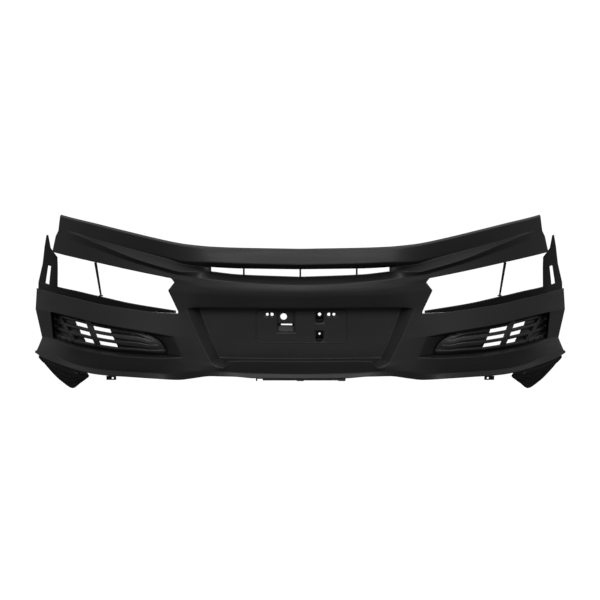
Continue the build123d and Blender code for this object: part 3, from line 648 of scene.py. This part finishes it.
def ringAround(xsIn, zsIn, cx, cz, radius):
    # surface between the circle and the square hole left for it: a straight blend in the angle's direction
    border = [(x, zsIn[0]) for x in xsIn] + [(xsIn[-1], z) for z in zsIn[1:]]
    border += [(x, zsIn[-1]) for x in xsIn[::-1][1:]] + [(xsIn[0], z) for z in zsIn[::-1][1:]]
    border = np.array(border)
    angle = np.arctan2(border[:, 1] - cz, border[:, 0] - cx)
    circle = np.stack([cx + radius * np.cos(angle), cz + radius * np.sin(angle)], 1)
    t = np.linspace(0, 1, 4)[:, None, None]
    flat = circle[None] * (1 - t) + border[None] * t
    return recessPoint(flat[..., 0], flat[..., 1], -trayBack(flat[..., 1]))


def makeLatchTrays():
    # two shallow pockets: a small see-through hole at the top, a deep dark band and a sill that faces up
    sheet = Sheet()
    for z0, z1, holeZ, reach in ((295.0, 330.0, 323.0, 5.5), (228.0, 264.0, 256.0, 3.5)):
        around = np.linspace(-reach, reach, 9)
        xs = np.concatenate([[53, 53.6, 57], 66 + around, [75, 78.4, 79.0]])
        zs = np.concatenate([[z0, z0 + 1.5, z0 + 4, z0 + 5, z0 + 14, z0 + 15], holeZ + around, [z1 - 0.6, z1]])
        gridX, gridZ = np.meshgrid(xs, zs, indexing="ij")
        back = np.interp(gridZ - z0, [0, 1.5, 4, 5, 14, 15, z1 - z0 - 0.6, z1 - z0], [0, 1, 3, 9, 9, 5, 4, 0])
        grid = recessPoint(gridX, gridZ, -np.where((gridX <= 53) | (gridX >= 79), 0.0, back))
        middle = cellCentres(grid)
        keep = np.hypot(middle[..., 0] - 66, middle[..., 2] - holeZ) > reach
        sheet.add(grid, keep)
    piece = bpy.data.objects.new("latchTrays", sheet.mesh("latchTrays"))
    piece.data.materials.append(finishes["black"])
    addModifiers(piece, 0, 1.2)
    place(piece, "cover", "skin_plastic")


makeOutline()
makeSensorTray()
makeLatchTrays()
print("recess done")

# side grilles
grille = {
    "thickness": 2.2,
    "behind": 5.0,  # behind the pocket's rim
    "bulge": 16.0,
    "gapDepth": 15.0,
    # distances from the middle at the pocket's top and bottom: outer end, bar, cell edges, blank, inner end
    "top": (892.0, 878.0, 861.0, 806.0, 753.0, 731.0, 666.0, 512.0),
    "low": (890.0, 797.0, 781.0, 743.0, 709.0, 690.0, 624.0, 444.0),
    "gaps": ((0.015, 0.055), (0.14, 0.30), (0.40, 0.56), (0.66, 0.84)),
    "barColumns": (1, 4),
    "openColumns": (3, 5),
}


def pocketRim(x):
    # heights of the pocket's upper and lower floor edges at distances x from the middle
    u = np.linspace(5, 10, 60)
    top = pocketFloor(crossing("ventTop", u), 433.0, 560.0, 86.0)
    low = pocketFloor(crossing("ventBottom", u), 405.0, 520.0, 46.0)
    return np.interp(x, top[:, 0], top[:, 2]), np.interp(x, low[:, 0], low[:, 2])


def grillePoint(r, x, back):
    # Insert face: r runs from the upper rim (0) to the lower (1), x is the distance from the middle.
    # It bows out by bulge * sin(pi r) * sin(pi s), s being the share along the insert, and back sinks it.
    top, low = pocketRim(x)
    height = top * (1 - r) + low * r
    s = np.clip((x - 440.0) / (890.0 - 440.0), 0, 1)
    bow = grille["bulge"] * np.sin(np.pi * np.clip(r, 0, 1)) * np.sin(np.pi * s)
    return onPlan(x, pocketOffset(x) + grille["behind"] - bow + back, height)


def grilleColumns():
    # column numbers with pairs of close stations at every edge
    found = []
    for k in range(7):
        count = 4 if k in (0, 1, 4) else (6 if k < 6 else 22)
        inner = np.linspace(k, k + 1, count + 1)
        found += [k + 0.04] + list(inner[1:-1]) + [k + 1 - 0.02 if k < 6 else k + 0.99, k + 1.0]
    return np.array([0.0] + found)


def grilleSheet(side):
    u = grilleColumns()
    top, low = np.interp(u, range(8), grille["top"]), np.interp(u, range(8), grille["low"])
    # how wide and deep the gaps still are: full up to the blank, then tapering flutes
    taper = np.clip(1 - (u - 6.05) / 0.80, 0, 1) ** 0.85
    taper = np.where(u <= 6.0, 1.0, taper * 0.62)
    rows, depths, opens = [], [], []
    previous = 0.0
    rows.append(np.full(len(u), -0.03))
    depths.append(np.zeros(len(u)))
    for a, b in grille["gaps"]:
        centre, half = (a + b) / 2, (b - a) / 2 * np.maximum(taper, 0.03)
        last = rows[-1]
        start, stop = centre - half, centre + half
        wall = np.minimum(0.012, half * 0.3)
        for share in (0.25, 0.6, 0.9):
            rows.append(last * (1 - share) + start * share)
            depths.append(np.zeros(len(u)))
        rows.append(start)
        depths.append(0.6 * taper)
        rows.append(start + wall)
        depths.append(taper * grille["gapDepth"] * (0.9 if b - a > 0.1 else 0.6))
        for share in (0.35, 0.7):
            rows.append(start + wall + (stop - start - 2 * wall) * share)
            depths.append(taper * grille["gapDepth"] * (1.0 if b - a > 0.1 else 0.6))
        rows.append(stop - wall)
        depths.append(taper * grille["gapDepth"] * (0.9 if b - a > 0.1 else 0.6))
        rows.append(stop)
        depths.append(0.6 * taper)
    last = rows[-1]
    for share in (0.2, 0.5, 0.8, 1.0):
        rows.append(last * (1 - share) + 1.03 * share)
        depths.append(np.full(len(u), -2.5 * np.sin(np.pi * min(share, 0.9))))
    r, back = np.array(rows), np.array(depths)
    x = top * (1 - np.clip(r, 0, 1)) + low * np.clip(r, 0, 1)
    end = np.clip(u - 6, 0, 1)
    x = x + end * pocketEnd(np.clip(r, 0, 1))
    inBar = np.zeros(len(u), bool)
    for k in grille["barColumns"]:
        inBar |= (u > k - 0.01) & (u < k + 1.01)
    crown = 1.5 * np.sin(np.pi * np.clip(u - np.floor(u), 0, 1))
    back = np.where(inBar & (back > 0), -crown * 0.8, back)
    # slats are crowned: the face between two gaps stands proud in its middle
    grid = grillePoint(r, x, back)
    grid[..., 0] *= side
    cellRow = (r[:-1] + r[1:])[:, :-1] / 2
    cellU = (u[:-1] + u[1:]) / 2
    wide = np.zeros(cellRow.shape, bool)
    for a, b in grille["gaps"][1:]:
        wide |= (cellRow > a + 0.014) & (cellRow < b - 0.014)
    column = np.zeros(len(cellU), bool)
    for k in grille["openColumns"]:
        column |= (cellU > k + 0.04) & (cellU < k + 0.98)
    sheet = Sheet()
    sheet.add(grid, ~(wide & column[None]))
    return sheet


def makeGrille(side, word):
    piece = bpy.data.objects.new("grille_" + word, grilleSheet(side).mesh("grille_" + word))
    piece.data.materials.append(finishes["grille"])
    addModifiers(piece, 0, grille["thickness"])
    place(piece, "cover", "grille_plastic", "vent_grille_" + word)


def makeStuds(side, word):
    # small domes where the bars cross the slats: height = h sqrt(1 - (d / radius)^2)
    radius, rise = 3.6, 3.4
    sheet = Sheet()
    for r, share in ((0.35, 0.5), (0.61, 0.5), (0.87, 0.5)):
        for k in grille["barColumns"]:
            u = k + share
            x = np.interp(u, range(8), grille["top"]) * (1 - r) + np.interp(u, range(8), grille["low"]) * r
            centre = grillePoint(np.array(r), np.array(x), 0.0)
            v, w = np.meshgrid(np.linspace(0, np.pi / 2, 5), np.linspace(0, 2 * np.pi, 13), indexing="ij")
            dome = np.stack([centre[0] + radius * np.cos(v) * np.cos(w), centre[1] - rise * np.sin(v) + 0.5,
                             centre[2] + radius * np.cos(v) * np.sin(w)], -1)
            dome[..., 0] *= side
            sheet.add(dome)
    piece = bpy.data.objects.new("grilleStuds_" + word, sheet.mesh("grilleStuds_" + word))
    piece.data.materials.append(finishes["grille"])
    place(piece, "cover", "grille_plastic")


for side, word in ((-1, "left"), (1, "right")):
    makeGrille(side, word)
    makeStuds(side, word)
print("grilles done")

# carried-over parts
slotLooks = {"skin_plastic": "skin", "black_plastic": "black", "grille_plastic": "grille", "screw_black": "black",
             "retainer_plastic": "retainer", "strip_plastic": "strip", "clip_steel": "steel"}
nodeSlots = {part["node"]: part["material_slot"] for part in frame["record"].get("subparts", [])}
for name, node in frame["nodes"].items():
    node.data.materials.clear()
    node.data.materials.append(finishes[slotLooks[nodeSlots.get(name, "black_plastic")]])

# stage
stage = {
    "cameraElevation": 9.0,
    "cameraDistance": 7.0,
    "lens": 120.28,
    "aim": (-0.001, -0.043, 0.3495),
    "floorHeight": -0.75,
    "skyRamp": (-0.4, 0.7, 0.08, 0.50),  # direction's height from and to, light strength from and to
}


def makeCamera():
    data = bpy.data.cameras.new("camera")
    data.lens = stage["lens"]
    data.sensor_width = 36.0
    camera = bpy.data.objects.new("camera", data)
    tilt = math.radians(stage["cameraElevation"])
    ax, ay, az = stage["aim"]
    camera.location = (ax, ay - stage["cameraDistance"] * math.cos(tilt),
                                      az + stage["cameraDistance"] * math.sin(tilt))
    camera.rotation_euler = (math.radians(90) - tilt, 0, 0)
    data.clip_start, data.clip_end = 0.1, 2000.0
    bpy.context.scene.collection.objects.link(camera)
    bpy.context.scene.camera = camera


def makeFloor():
    made, nodes, links, shader = newMaterial("floorWhite")
    shader.inputs["Base Color"].default_value = (0.03, 0.03, 0.03, 1)
    shader.inputs["Roughness"].default_value = 0.9
    shader.inputs["Emission Color"].default_value = (1, 1, 1, 1)
    shader.inputs["Emission Strength"].default_value = 1.0
    size = 700.0
    z = stage["floorHeight"]
    mesh = bpy.data.meshes.new("floor")
    mesh.from_pydata([(-size, -size, z), (size, -size, z), (size, size, z), (-size, size, z)], [], [(0, 1, 2, 3)])
    mesh.materials.append(made)
    floor = bpy.data.objects.new("floor", mesh)
    bpy.context.scene.collection.objects.link(floor)
    floor.visible_diffuse = False
    floor.visible_glossy = False


def makeLight(name, location, aim, size, power):
    data = bpy.data.lights.new(name, "AREA")
    data.shape = "RECTANGLE"
    data.size, data.size_y = size
    data.energy = power
    lamp = bpy.data.objects.new(name, data)
    lamp.location = location
    direction = np.asarray(aim, float) - np.asarray(location, float)
    lamp.rotation_euler = Vector(direction).to_track_quat("-Z", "Y").to_euler()
    bpy.context.scene.collection.objects.link(lamp)


def makeWorld():
    world = bpy.data.worlds.new("studio")
    world.use_nodes = True
    nodes, links = world.node_tree.nodes, world.node_tree.links
    height = nodes.new("ShaderNodeSeparateXYZ")
    links.new(nodes.new("ShaderNodeTexCoord").outputs["Generated"], height.inputs["Vector"])
    ramp = nodes.new("ShaderNodeMapRange")
    for name, number in zip(("From Min", "From Max", "To Min", "To Max"), stage["skyRamp"]):
        ramp.inputs[name].default_value = number
    links.new(height.outputs["Z"], ramp.inputs["Value"])
    nodes["Background"].inputs["Color"].default_value = (1, 1, 1, 1)
    links.new(ramp.outputs["Result"], nodes["Background"].inputs["Strength"])
    bpy.context.scene.world = world


makeCamera()
makeFloor()
makeWorld()
makeLight("topSoftbox", (0, -0.8, 4.0), (0, 0, 0.3), (7.0, 2.0), 8)
makeLight("frontFill", (0, -6.6, 4.6), (0, 0, 0.3), (8.0, 3.0), 270)
view = bpy.context.scene.view_settings
view.view_transform = "Standard"
